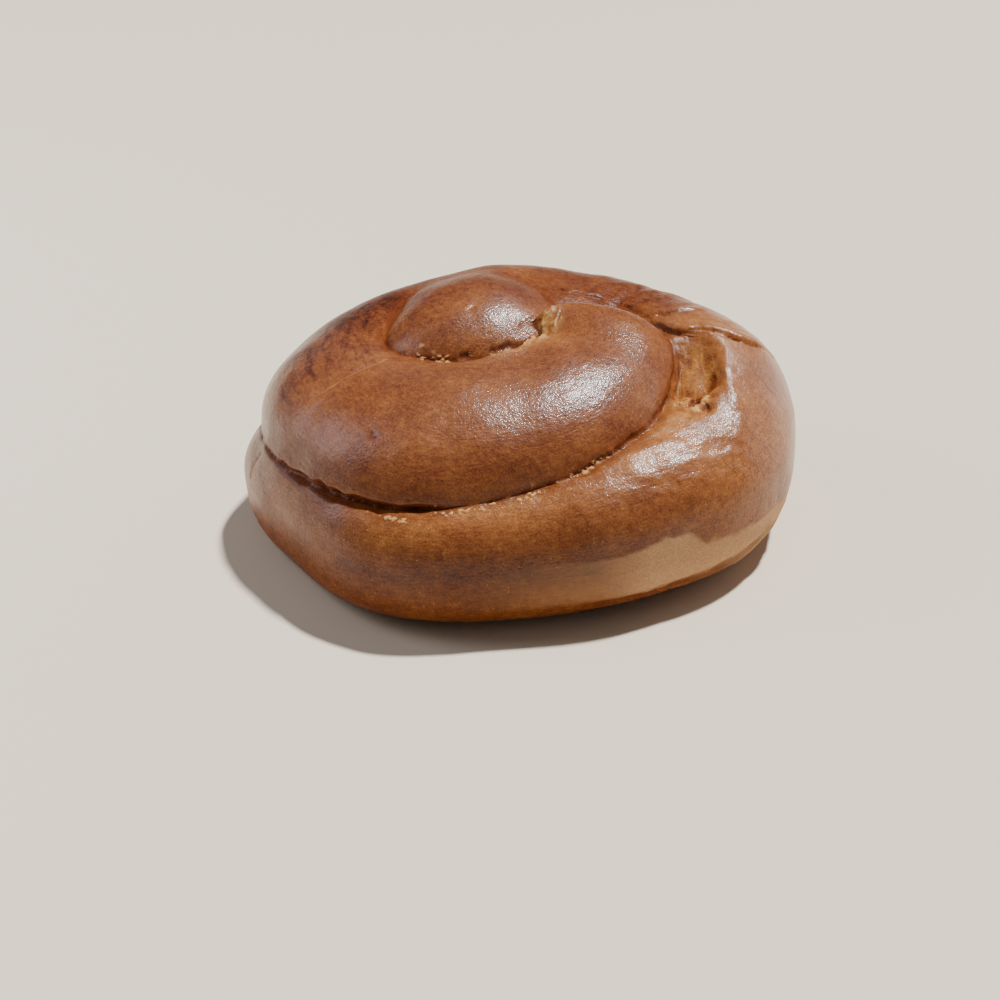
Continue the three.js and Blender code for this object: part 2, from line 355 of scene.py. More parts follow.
def scatter(cells, seed):
    """A random value between -1 and 1 for each cell of whole numbers, the same on every run."""
    x, y, z = cells.T.astype(np.int64)
    mixed = x * MIXERS[0] ^ y * MIXERS[1] ^ z * MIXERS[2] ^ seed * MIXERS[3]
    mixed = (mixed ^ (mixed >> 13)) * MIXERS[4]
    return ((mixed >> 16) & 0xFFFF) / 32767.5 - 1


def noise(points, size, seed):
    """Smooth random values between -1 and 1, in bumps about a size across. A size may be three."""
    cells = points / size
    corner = np.floor(cells)
    part = cells - corner
    part = part * part * (3 - 2 * part)
    total = np.zeros(len(points))
    for step in np.ndindex(2, 2, 2):
        weight = np.prod(np.where(step, part, 1 - part), axis=1)
        total += weight * scatter(corner + step, seed)
    return total


def wobbled(points, size, amount, seed):
    """Points moved a little, so that a feature measured from them looks irregular."""
    return points + amount * np.stack([noise(points, size, seed + k) for k in range(3)], axis=1)


def beside(points, path):
    """How far points are from a path, more than nothing at its left seen from above, and how far
    along it they are, from 0 to 1."""
    path = np.array(path, float)
    lengths = np.linalg.norm(np.diff(path, axis=0), axis=1)
    starts = np.concatenate([[0], np.cumsum(lengths)])
    nearest = np.full(len(points), np.inf)
    side, share = np.zeros(len(points)), np.zeros(len(points))
    for begin, end, length, start in zip(path[:-1], path[1:], lengths, starts):
        way = (end - begin) / length
        along = np.clip((points - begin) @ way, 0, length)
        off = points - begin - along[:, None] * way
        far = np.linalg.norm(off, axis=1)
        nearer = far < nearest
        nearest = np.where(nearer, far, nearest)
        side = np.where(nearer, np.sign(way[0] * off[:, 1] - way[1] * off[:, 0]), side)
        share = np.where(nearer, (start + along) / starts[-1], share)
    return nearest * side, share


def faded(share, low, high):
    """1 halfway along a path and falling towards its ends, where it stays above nothing."""
    return np.sin(np.pi * np.clip(share, low, high))


def along_crease(points, path):
    """How far points are from a crease, more than nothing on the side of its lip, how far along it
    they are, and how much of its depth it has there."""
    off, share = beside(wobbled(points, 5.0, 0.6, 11), path)
    return off, share, faded(share, 0.03, 0.97) ** 0.6


def crease_relief(points, path, depth, half_width, lip, lip_reach):
    """How the skin sinks into a crease and rises beside it in a lip."""
    off, _, fade = along_crease(points, path)
    groove = -depth * bell(off, half_width)
    raised = lip * bell(off - lip_reach, lip_reach * 0.7) * (off > 0)
    return fade * (groove + raised)


def pocket_inside(points):
    """1 in the deepest of the torn pocket, falling off smoothly to 0 at its ragged edge."""
    inside = np.zeros(len(points))
    off = np.abs(points[:, :2] - POCKET_MIDDLE) - POCKET_HALVES
    near = np.flatnonzero((off.max(axis=1) < POCKET_MARGIN) & (points[:, 2] > POCKET_FLOOR))
    ragged = wobbled(wobbled(points[near], 9.0, 1.6, 21), 3.0, 0.7, 24)
    way = math.radians(POCKET_TURNED)
    x, y = (ragged[:, :2] - POCKET_MIDDLE).T
    along = x * math.cos(way) + y * math.sin(way)
    across = y * math.cos(way) - x * math.sin(way)
    value = np.hypot(along / POCKET_HALVES[0], across / POCKET_HALVES[1])
    inside[near] = eased(1.35, 0.5, value)
    return inside


def fibrous(along, across, pitch, length, seed):
    """Fibres side by side along a line and stretched across it: 1 on them, 0 between them."""
    flat = np.stack([along, across, np.zeros_like(along)], axis=1)
    return (1 - np.abs(noise(flat, (pitch, length, 1.0), seed))) ** 2


def pocket_relief(points, on_lower):
    """How the torn pocket's floor stands up in fibres, with a crumbling flap at its low end; and
    how pale each place is, from the holes, darkened with painted shade, to the fibres."""
    inside = pocket_inside(points) * on_lower
    strands = fibrous(points[:, 0], points[:, 1] + 0.4 * points[:, 0], 2.2, 9.0, 31)
    flap = eased(-36, -43, points[:, 1])
    lumps = 0.6 * noise(points, 3.6, 32) + 0.5 * noise(points, 1.7, 33)
    relief = inside * (0.2 * strands + flap * (2.6 + 1.6 * lumps))
    pale = 0.19 + 0.2 * strands + 0.25 * noise(points, 5.0, 34) + flap * (0.1 + 0.5 * lumps)
    for fibre in POCKET_FIBRES:
        off, share = beside(wobbled(points, 4.0, 0.5, 35), fibre)
        thread = bell(off, FIBRE_WIDTH) * faded(share, 0.1, 0.9)
        relief += FIBRE_HEIGHT * inside * thread
        pale += 0.55 * thread
    for hole in POCKET_HOLES:
        off = np.linalg.norm(wobbled(points, 2.5, 0.9, 39) - hole, axis=1)
        pit = bell(off, HOLE_WIDTH) * on_lower
        relief -= HOLE_DEPTH * pit
        # The holes are painted darker: painted shade.
        pale -= 1.2 * pit
    off, share = beside(wobbled(points, 6.0, 0.8, 37), POCKET_RIDGE)
    ridge = RIDGE_HEIGHT * bell(off, RIDGE_WIDTH) * faded(share, 0.08, 0.85)
    ridge *= 1 + 0.5 * noise(points, 5.0, 36)
    return relief + ridge * on_lower, pale


def knob_tear_relief(points):
    """How the tear at the knob's right stands up in fibres, how torn it is, and how pale."""
    off, share = beside(wobbled(points, 4.0, 0.8, 41), KNOB_TEAR)
    torn = bell(off, TEAR_WIDTH) * faded(share, 0.08, 0.92) ** 0.5
    # The fibres run upright, side by side from left to right.
    fibres = fibrous(points[:, 0] - 0.35 * points[:, 1], points[:, 1] + points[:, 2], 2.0, 9.0, 43)
    lumps = noise(points, 1.8, 45)
    return torn * (2.2 * fibres + 0.6 * lumps + 0.9), torn, 0.5 + 0.65 * fibres + 0.3 * lumps


def marks_at(points):
    """How deep the marks are at each point, and how much darker they are: the recess with painted
    shade, the lip paler with a painted highlight.
    """
    depth, darkening = np.zeros(len(points)), np.zeros(len(points))
    for path, width, deep, brown in MARKS:
        near = np.flatnonzero(np.abs(points - np.array(path[0], float)).max(axis=1) < MARK_REACH)
        off, _ = beside(wobbled(points[near], 4.0, 0.6, 47), path)
        worn = bell(off, width) * (0.7 + 0.3 * noise(points[near], 2.5, 48))
        depth[near] += deep * worn
        darkening[near] += brown * worn
    return depth, darkening


def laps_of(points):
    """The gaps to the rope's three laps, side by side."""
    return np.stack([rope_gap(points, lap)[0] for lap in range(LAPS)], axis=1)


def turns_of(points):
    x, y = (points[:, :2] - COIL_AXIS).T
    return np.degrees(np.arctan2(y, x)) % FULL_TURN


def knob_angle(points):
    return np.degrees(np.arctan2(points[:, 1] - KNOB[0][1], points[:, 0] - KNOB[0][0]))


def back_gap(points):
    """How far points are outside all but the knob, with the torn pocket sunk into the rope."""
    laps = laps_of(points)
    lower = np.where(turns_of(points) > FULL_TURN / 2, 0, 1)
    laps[np.arange(len(laps)), lower] += POCKET_DEPTH * pocket_inside(points)
    nearest, second, _ = np.sort(laps, axis=1).T
    coil = melted(nearest, second, np.interp(turns_of(points), SEAM_TURNS, SEAM_MELTS))
    tongue = melted(coil, swelling_gap(points, TONGUE), TONGUE_MELT)
    return melted(tongue, swelling_gap(points, BRIDGE), BRIDGE_MELT)


def cap_gap(points):
    """How far points are outside the knob."""
    cap = melted(swelling_gap(points, KNOB), swelling_gap(points, SHOULDER), SHOULDER_MELT)
    return melted(cap, swelling_gap(points, CORNER), CORNER_MELT)


def loaf_gap(points):
    """How far points are outside the loaf, about in millimetres."""
    melt = np.interp(knob_angle(points), KNOB_ANGLES, KNOB_MELTS)
    whole = melted(back_gap(points), cap_gap(points), melt)
    whole = np.minimum(whole, swelling_gap(points, FILLING))
    return np.maximum(whole, -points[:, 2])


def slope_of(gap, points, step=0.25):
    """A gap at each point, the direction in which it grows fastest, and how fast."""
    here = gap(points)
    slope = np.stack([gap(points + step * axis) - here for axis in np.eye(3)], axis=1) / step
    steepness = np.linalg.norm(slope, axis=1, keepdims=True)
    return here, slope / np.maximum(steepness, 1e-6), steepness[:, 0]


def seams_at(points):
    """For each kind of seam: how far points are from it, the way out of it, and its depth and
    width there. A seam is where the skins of two parts meet."""
    turns, angle = turns_of(points), knob_angle(points)
    points = wobbled(points, 5.0, 0.5, 15)
    laps = [slope_of(lambda at, lap=lap: rope_gap(at, lap)[0], points) for lap in range(LAPS)]
    back, cap = slope_of(back_gap, points), slope_of(cap_gap, points)
    along_rope = [np.interp(turns, SEAM_TURNS, values) for values in (SEAM_DEPTHS, SEAM_WIDTHS)]
    along_knob = [np.interp(angle, KNOB_ANGLES, values) for values in (KNOB_DEPTHS, KNOB_WIDTHS)]
    uneven = 1 + 0.4 * noise(points, 8.0, 18) + 0.25 * noise(points, 3.5, 19)
    pairs = (
        (laps[0], laps[1], *along_rope),
        (laps[1], laps[2], *along_rope),
        (back, cap, *along_knob),
    )
    seams = []
    for (one, way_one, _), (other, way_other, _), depth, width in pairs:
        apart = np.linalg.norm(way_one - way_other, axis=1)
        off = np.abs(one - other) / np.maximum(apart, 0.25)
        off += np.clip(np.maximum(np.abs(one), np.abs(other)) - SEAM_REACH, 0, None)
        out = way_one + way_other
        out /= np.maximum(np.linalg.norm(out, axis=1, keepdims=True), 0.2)
        seams.append((off, out, depth * uneven, width * uneven))
    return seams


def seam_share(points):
    """1 in the seams and 0 away from them."""
    share = np.zeros(len(points))
    for off, _, depth, width in seams_at(points):
        whole = np.minimum(depth / WHOLE_DEPTH, 1)
        share = np.maximum(share, whole * bell(off, width * SHARE_WIDTH))
    return share


def seam_relief(points):
    """How the skin turns in at the seams, as moves."""
    moves = np.zeros_like(points)
    for off, out, depth, width in seams_at(points):
        moves -= (depth * bell(off, width))[:, None] * out
    return moves


def crumbs_at(points):
    """How much of each point is crumb, in ragged lumps along the crumbs' paths."""
    share = np.zeros(len(points))
    for path, reach in CRUMBS:
        near = np.flatnonzero(np.abs(beside(points, path)[0]) < 3 * reach)
        off, along = beside(points[near], path)
        lumps = 1.1 * noise(points[near], 1.5, 5) + 0.8 * noise(points[near], 0.8, 6)
        close = bell(off, reach) * faded(along, 0.1, 0.9)
        share[near] = np.maximum(share[near], eased(0.1, 0.7, lumps - 0.85 + 1.3 * close))
    return share


def unevenness(points, turns):
    """The slow rise and fall of baked dough, with finer wrinkles over the rope's right shoulder,
    where it has stretched and sunk, and tucks slanting over it at the back right."""
    z = points[:, 2]
    relief = sum(height * noise(points, size, seed) for height, size, seed in DOUGH_WAVES)
    wrinkles = sum(height * noise(points, size, seed) for height, size, seed in WRINKLE_WAVES)
    tucks = noise(points @ TUCKS_SLANT, TUCKS_SIZE, 56)
    shoulder = bell(turns - SHOULDER_TURN, 24) * eased(44, 58, z)
    back = bell(turns - TUCKS_TURN, 26) * eased(66, 78, z)
    relief *= eased(0, 12, z)
    return relief + WRINKLE_HEIGHT * shoulder * wrinkles + TUCKS_HEIGHT * back * tucks


# ---------------------------------------------------------------- meshes and their vertices

# How finely the rope and the swellings are made before they are joined.
ROPE_RINGS = 260
ROPE_CORNERS = 72
DOME_RINGS = 40
DOME_CORNERS = 64

# How often the vertices are evened out: on the bare form, once it has its seams, and once it has
# been cut finer; how far along the way to their neighbours' middle each round moves them, and the
# furthest that it draws them on to the skin.
FIRST_ROUNDS = 8
SEAMED_ROUNDS = 4
REFINED_ROUNDS = 2
EVENING = 0.5
LONGEST_PULL = 0.8

# How close to a crease, a tear, a crumb or a mark the mesh is cut finer: in millimetres, or as a
# share of its own reach.
CREASE_NEAR = 3.5
SEAM_NEAR = 0.2
POCKET_NEAR = 0.15
TEAR_NEAR = 1.5
CRUMB_NEAR = 1.5
MARK_NEAR = 2

# How far a place is from the knob if it is in the torn pocket, and not on the knob above it.
OFF_KNOB = 20


def read_metres(piece):
    """Where a piece's vertices are, in metres."""
    flat = np.empty(len(piece.data.vertices) * 3)
    piece.data.vertices.foreach_get("co", flat)
    return flat.reshape(-1, 3)


def read_places(piece):
    """Where a piece's vertices are, in millimetres, as the shapes above are."""
    return read_metres(piece) / MM


def write_places(piece, places):
    piece.data.vertices.foreach_set("co", (places * MM).ravel())
    piece.data.update()


def read_edges(piece):
    flat = np.empty(len(piece.data.edges) * 2, dtype=np.int32)
    piece.data.edges.foreach_get("vertices", flat)
    return flat.reshape(-1, 2)


def neighbours_middle(places, edges):
    """The mean of each vertex's neighbours."""
    total = np.zeros_like(places)
    count = np.bincount(edges.ravel(), minlength=len(places))[:, None]
    for one, other in ((0, 1), (1, 0)):
        for axis in range(places.shape[1]):
            total[:, axis] += np.bincount(
                edges[:, one], weights=places[edges[:, other], axis], minlength=len(places)
            )
    return total / np.maximum(count, 1)


def settled(places, edges, rounds, held=None):
    """Draws vertices on to the loaf's skin, evening them out along it. Held ones aren't drawn, and
    are smoothed instead."""
    free = np.ones((len(places), 1)) if held is None else 1 - held[:, None]
    for _ in range(rounds):
        here, out, steepness = slope_of(loaf_gap, places)
        move = neighbours_middle(places, edges) - places
        move -= free * out * np.sum(move * out, axis=1, keepdims=True)
        nearer = np.clip(here / np.maximum(steepness, 0.5), -LONGEST_PULL, LONGEST_PULL)
        places = places + EVENING * move - free * out * nearer[:, None]
        places[:, 2] = np.maximum(places[:, 2], 0)
    return places


def only(piece):
    bpy.ops.object.select_all(action="DESELECT")
    piece.select_set(True)
    bpy.context.view_layer.objects.active = piece


def roll_rope():
    """A ball of dough, rolled out and coiled up: each parallel of the ball is a ring of the rope."""
    bpy.ops.mesh.primitive_uv_sphere_add(segments=ROPE_CORNERS, ring_count=ROPE_RINGS, radius=1)
    rope = bpy.context.object
    x, y, z = read_metres(rope).T
    polar = np.arccos(np.clip(z, -1, 1)) / math.pi
    rounded = END_ROUNDING / (END_TURN - START_TURN)
    cap = np.minimum(np.minimum(polar, 1 - polar) / rounded, 1)
    turns = START_TURN + (END_TURN - START_TURN) * polar
    sizes = np.sqrt(np.maximum(1 - (1 - cap) ** 2, 0))
    write_places(rope, rope_places(turns, -np.arctan2(y, x), sizes))
    return rope


def add_swelling(swelling):
    middle, radii, turned = swelling
    bpy.ops.mesh.primitive_uv_sphere_add(segments=DOME_CORNERS, ring_count=DOME_RINGS, radius=1)
    dome = bpy.context.object
    dome.scale = Vector(radii) * MM
    dome.rotation_euler = (0, 0, math.radians(turned))
    dome.location = Vector(middle) * MM
    bpy.ops.object.transform_apply(location=True, rotation=True, scale=True)
    places = read_places(dome)
    places[:, 2] = np.maximum(places[:, 2], 0)
    write_places(dome, places)
    return dome


def raise_dough(settings):
    """The bare form of the loaf as one even mesh: the rope and its swellings joined, remeshed into
    small squares and settled on the loaf's skin."""
    pieces = [roll_rope()] + [add_swelling(swelling) for swelling in SWELLINGS]
    bpy.ops.object.select_all(action="DESELECT")
    for piece in pieces:
        piece.select_set(True)
    bpy.context.view_layer.objects.active = pieces[0]
    bpy.ops.object.join()
    loaf = bpy.context.object
    loaf.name = loaf.data.name = "loaf"
    loaf.data.remesh_voxel_size = settings.grain
    loaf.data.remesh_voxel_adaptivity = 0
    bpy.ops.object.voxel_remesh()
    places = settled(read_places(loaf), read_edges(loaf), FIRST_ROUNDS)
    write_places(loaf, places + seam_relief(places))
    bpy.ops.object.voxel_remesh()
    places = read_places(loaf)
    write_places(loaf, settled(places, read_edges(loaf), SEAMED_ROUNDS, seam_share(places)))
    return loaf


def detailed(places):
    """Whether each place is where the skin has detail finer than the mesh's squares."""
    near = seam_share(places) > SEAM_NEAR
    for path in [crease[0] for crease in CREASES] + [POCKET_RIDGE]:
        near |= np.abs(beside(places, path)[0]) < CREASE_NEAR
    return near | finest(places)


def finest(places):
    """Whether each place is where the dough has torn or crumbled, which has the finest detail."""
    near = np.abs(beside(places, KNOB_TEAR)[0]) < TEAR_WIDTH * TEAR_NEAR
    near |= (pocket_inside(places) > POCKET_NEAR) & (cap_gap(places) > OFF_KNOB)
    for path, reach in CRUMBS:
        near |= np.abs(beside(places, path)[0]) < CRUMB_NEAR * reach
    for path, width, deep, _ in MARKS:
        near |= (deep != 0) & (np.abs(beside(places, path)[0]) < MARK_NEAR * width)
    return near


def refine(loaf, is_chosen):
    """Cuts the chosen squares of the mesh in four, and settles it again."""
    only(loaf)
    chosen = is_chosen(read_places(loaf))
    mesh = loaf.data
    corners = np.empty(len(mesh.loops), dtype=np.int32)
    mesh.loops.foreach_get("vertex_index", corners)
    starts = np.empty(len(mesh.polygons), dtype=np.int32)
    mesh.polygons.foreach_get("loop_start", starts)
    inside = np.logical_and.reduceat(chosen[corners], starts)
    bpy.ops.object.mode_set(mode="EDIT")
    bpy.ops.mesh.select_mode(type="FACE")
    bpy.ops.mesh.select_all(action="DESELECT")
    bpy.ops.object.mode_set(mode="OBJECT")
    mesh.polygons.foreach_set("select", inside)
    bpy.ops.object.mode_set(mode="EDIT")
    bpy.ops.mesh.subdivide(number_cuts=1)
    bpy.ops.object.mode_set(mode="OBJECT")
    places = read_places(loaf)
    write_places(loaf, settled(places, read_edges(loaf), REFINED_ROUNDS, seam_share(places)))


# How brown the crust has baked all over, from 0 to 1, and how much browner each place is painted:
# mostly browning, but the darker band low on the rope is painted shade and the paler right
# shoulder painted light.
EVEN_BROWN = 0.55
BROWNING_LIGHT_AND_SHADE = {
    "fresh rise": -0.3,
    "shaded_band": 0.18,
    "scorched strand": 0.12,
    "golden hollow": -0.14,
    "back": 0.13,
    "right shoulder": -0.14,
    "crease's lip": -0.45,
    "beside the crease": -0.12,
}

# How much of the glaze has soaked in or run off in each place, from 0 to 1.
GLAZE_LOST = {
    "back": 0.6,
    "fresh rise": 0.6,
    "crevices": 0.6,
    "folds": 0.85,
    "pocket's edge": 0.6,
    "rope's end": 0.5,
    "foot": 0.9,
    "knob's tear": 0.8,
}

# By turn, where each of these begins, is whole, wanes and ends; and the height of the darker band,
# painted shade where the lower lap turns down away from the light.
FRESH_TURNS = (226, 240, 335, 345)
SHADED_BAND_TURNS = (222, 236, 285, 300)
SCORCHED_TURNS = (470, 500, 552, 566)
LIT_SHOULDER_TURNS = (295, 315, 370, 395)
SHADED_BAND_HEIGHT = 30

# The groove depth at which a crease is quite dark inside with painted shade, and how much wider
# the shade is painted than the groove.
DARK_DEPTH = 4
DARK_WIDTH = 1.2

# How far the rope's middle is from the coil's axis and its skin from its middle, on the whole. They
# make lengths of turns and angles, for the patterns that follow the strand.
COIL_RADIUS = 75
ROPE_RADIUS = 36

# Below this height a place is on the flat foot, and stays there.
FOOT_HEIGHT = 0.05


def rope_at(places):
    """The gaps to the rope's laps, and the turns and the angles round the section on the nearest."""
    laps, turns, angles = np.stack([rope_gap(places, lap) for lap in range(LAPS)], axis=2)
    nearest = (np.arange(len(places)), np.argmin(laps, axis=1))
    return laps, turns[nearest], angles[nearest]


def bake(loaf):
    """Gives the settled loaf its unevenness, creases, tears and crumbs, and notes for the crust
    how each vertex has baked."""
    places = read_places(loaf)
    laps, turns, around = rope_at(places)
    on_lower = (turns < UPPER_TURN).astype(float)
    pocket_height, pocket_pale = pocket_relief(places, on_lower)
    tear_height, tear, tear_pale = knob_tear_relief(places)
    crumb = crumbs_at(places)
    mark_depth, mark_darkening = marks_at(places)
    relief = unevenness(places, turns)
    for crease in CREASES:
        relief += crease_relief(places, *crease)
    relief += pocket_height + tear_height + CRUMB_HEIGHT * crumb - mark_depth
    moved = places + slope_of(loaf_gap, places)[1] * relief[:, None]
    moved[:, 2] = np.where(places[:, 2] < FOOT_HEIGHT, 0, np.maximum(moved[:, 2], 0))
    write_places(loaf, moved)
    notes = crust_notes(places, laps, turns, around)
    inside = pocket_inside(places) * on_lower
    pocket = eased(0.02, 0.6, inside + 0.2 * inside * noise(places, 2.5, 66))
    notes["torn"] = np.maximum(pocket, tear)
    notes["pale"] = np.clip(np.where(inside > tear, pocket_pale, tear_pale), 0, 1)
    notes["crumb"] = crumb
    # The knob's tear gets none of the crevices' painted shade.
    notes["crevice"] = np.clip(notes["crevice"] * (1 - tear), 0, 1)
    notes["glaze"] *= 1 - GLAZE_LOST["knob's tear"] * tear
    notes["browned"] = np.clip(notes["browned"] + mark_darkening, 0, 1)
    for name, values in notes.items():
        kind, field = ("FLOAT_VECTOR", "vector") if values.ndim == 2 else ("FLOAT", "value")
        note = loaf.data.attributes.new(name, kind, "POINT")
        note.data.foreach_set(field, values.ravel())


def bareness(places, turns):
    """How far each place is in the patch at the foot, which has no glaze."""
    z, seam_turn = places[:, 2], turns % FULL_TURN
    top = np.interp(seam_turn, PATCH_TURNS, PATCH_TOPS) + 0.9 * noise(places, 5.0, 61)
    bare = eased(top + PATCH_TOP_EDGE, top - PATCH_TOP_EDGE, z)
    bare *= eased(PATCH_LOW - PATCH_LOW_EDGE, PATCH_LOW + PATCH_LOW_EDGE, z)
    bare *= np.interp(seam_turn, BARING_TURNS, BARING_SHARES) * eased(*PATCH_END_TURNS, seam_turn)
    return bare * (turns < FULL_TURN)


def glaze_thickness(places, turns, fresh, crevice):
    """How thick the glaze lies. The brush laid most on the front and the top."""
    y, z = places[:, 1], places[:, 2]
    behind_knob = bell(cap_gap(places) - back_gap(places), 12) * eased(-14, 0, y)
    behind_end = bell(beside(places, BACK_SEAM)[0], 9)
    off_pocket = np.hypot(*((places[:, :2] - POCKET_MIDDLE) / POCKET_HALVES).T)
    lost = {
        "back": eased(-2, 40, y),
        "fresh rise": fresh,
        "crevices": crevice,
        "folds": np.maximum(behind_knob, behind_end),
        "pocket's edge": eased(1.9, 1.2, off_pocket) * (z > POCKET_FLOOR),
        "rope's end": eased(675, 705, turns),
        "foot": eased(45, 8, z),
    }
    glaze = 1 + 0.25 * noise(places, 16.0, 67)
    for name, share in lost.items():
        glaze *= 1 - GLAZE_LOST[name] * share
    return glaze


def crust_notes(places, laps, turns, around):
    """For every vertex, from 0 to 1: how brown it has baked, with painted shade and light in places,
    how scorched in streaks, how much of it is bare skin or crevice darkened with painted shade, and
    how thick the glaze is; and its place along and across the rope, in metres."""
    y, z = places[:, 1], places[:, 2]
    is_lower = 1 - eased(*CLIMB_TURNS, turns)
    off_knob = cap_gap(places)
    off_seam = np.clip(np.sort(laps, axis=1)[:, 1] - 1, 0, None)
    # Seams and creases get the crevices' colour: the dark red-brown of glaze pooled in them, deepened
    # with painted shade that grows with the groove.
    crevice = seam_share(places)
    for path, depth, half_width, _, _ in CREASES:
        off, _, fade = along_crease(places, path)
        dark = depth / DARK_DEPTH * fade * bell(off, half_width * DARK_WIDTH)
        crevice = np.maximum(crevice, dark)
    # The lower lap stayed paler where it rose out of the main seam. The darker band below it is
    # painted shade, where its side turns down away from the light.
    fresh = is_lower * bell(off_seam, 8) * (z > SHADED_BAND_HEIGHT)
    fresh *= between(*FRESH_TURNS, turns % FULL_TURN)
    shaded_band = is_lower * bell(z - SHADED_BAND_HEIGHT - 2 * noise(places, 20.0, 64), 6)
    # The strand that climbs at the left is the most browned of all.
    scorched = between(*SCORCHED_TURNS, turns) * eased(60, 72, z) * eased(2, 8, off_knob)
    crease, share, _ = along_crease(places, LEFT_CREASE)
    baked = {
        "fresh rise": fresh,
        # The band: painted shade, where the lower lap turns down away from the light.
        "shaded_band": shaded_band * between(*SHADED_BAND_TURNS, turns),
        "scorched strand": scorched,
        # The hollow in front of the knob, which the brush hardly reached.
        "golden hollow": bell(off_knob - 8, 9) * eased(-8, -20, y),
        "back": eased(0, 20, y),
        # The right shoulder, which faces the key light, painted paler: painted light.
        "right shoulder": between(*LIT_SHOULDER_TURNS, turns),
        "crease's lip": bell(crease - 0.6, 1.0) * between(0.0, 0.06, 0.6, 1.0, share),
        "beside the crease": bell(crease + 5, 4) * (share > 0) * (share < 0.97),
    }
    browned = EVEN_BROWN + 0.07 * noise(places, 22.0, 62) + 0.09 * noise(places, 9.0, 63)
    for name, amount in baked.items():
        browned += BROWNING_LIGHT_AND_SHADE[name] * amount
    along = np.radians(turns) * COIL_RADIUS
    return {
        "browned": browned,
        "scorched": scorched,
        "bare": bareness(places, turns),
        "crevice": crevice,
        "glaze": glaze_thickness(places, turns, fresh, crevice),
        "strand": np.stack([along, around * ROPE_RADIUS, np.zeros_like(along)], axis=1) * MM,
    }


# ---------------------------------------------------------------- materials

# The crust's colours, from least to most baked, and those of torn dough, of the bare patch, of
# crumbs and of crevices, whose dark red-brown is glaze pooled in them with painted shade over it.
GOLDEN = "B0763E"
AMBER = "8E562C"
BROWN = "764120"
CHESTNUT = "592916"
BURNT = "321209"
TORN_PALE = "D8A866"
TORN_MIDDLE = "A0662C"
TORN_DARK = "642C0C"
BARE_PALE = "CEA680"
BARE_DARK = "B08660"
CRUMB_PALE = "D6A468"
PIT = "5C240C"
PIT_PALE = "82461F"

# What is noted for every vertex, besides its place along and across the strand.
NOTES = ("browned", "scorched", "torn", "pale", "crumb", "bare", "crevice", "glaze")

# The crust's patterns: what each follows, how far apart its bumps are in millimetres, and how many
# finer copies of itself it has and how strong they are. A pastry brush's bristles are finer than
# half a millimetre, so their marks are drawn coarser, to show.
PATTERNS = {
    "brush marks": ("strand", 1.0, 4.0, 0.65),
    "streaks": ("strand", 3.2, 4.0, 0.6),
    "waves": ("strand", 2.4, 2.0, 0.55),
    "mottling": ("place", 3.2, 4.0, 0.62),
    "fine grain": ("place", 0.8, 2.0, 0.6),
    "skin": ("place", 0.9, 3.0, 0.6),
    "dimples": ("place", 2.8, 2.0, 0.55),
    "groups": ("place", 9.0, 2.0, 0.55),
}

# The patterns that follow the strand count only this share of the way along it, which stretches
# them that way.
STRETCH = (0.22, 1, 1)

# How the patterns change how brown the crust is: from where to where of each, and by how much.
SHADINGS = (
    ("mottling", 0.3, 0.7, 0.12),
    ("brush marks", 0.25, 0.75, 0.13),
    ("fine grain", 0.25, 0.75, 0.13),
)
SCORCHING = 0.26
TORN_SHADING = 0.2

# From where to where in their patterns the streaks, the grains of the bare patch, the blisters and
# the groups of blisters rise from nothing to whole.
STREAK_EDGES = (0.48, 0.66)
BARE_EDGES = (0.3, 0.7)
BLISTER_EDGES = (0.17, 0.10)
GROUP_EDGES = (0.46, 0.60)

# How high the crust stands up in each pattern, in millimetres.
BUMPS = {"skin": 0.18, "waves": 0.16, "dimples": 0.2, "blisters": 0.10}

# How far apart the pale blisters low on the rope are, below which height they are whole and above
# which there are none, all in millimetres.
BLISTERS_APART = 2.2
BLISTERS_WHOLE = 35
BLISTERS_END = 55

# The base's roughness and the coat's weight, glazed and dry, and the base's sheen without a glaze
# and under it. Torn dough is part dry.
ROUGHNESS = (0.37, 0.8)
COAT = (0.7, 0.05)
SHEEN = (0.04, 0.25)
COAT_ROUGHNESS = 0.12
COAT_IOR = 1.35
TORN_DRYNESS = 0.45


def linear(code):
    """A colour from its six-figure code, as the shader wants it."""
    shares = [int(code[i : i + 2], 16) / 255 for i in (0, 2, 4)]
    bright = [s / 12.92 if s <= 0.04045 else ((s + 0.055) / 1.055) ** 2.4 for s in shares]
    return (*bright, 1.0)


def add_node(tree, kind, inputs, output=0, **settings):
    """Adds a node with its settings, and with its inputs set to values or linked to the outputs of
    other nodes, and gives back one of its own outputs."""
    node = tree.nodes.new(kind)
    for name, value in settings.items():
        setattr(node, name, value)
    for name, value in inputs.items():
        if isinstance(value, bpy.types.NodeSocket):
            tree.links.new(value, node.inputs[name])
        else:
            node.inputs[name].default_value = value
    return node.outputs[output]


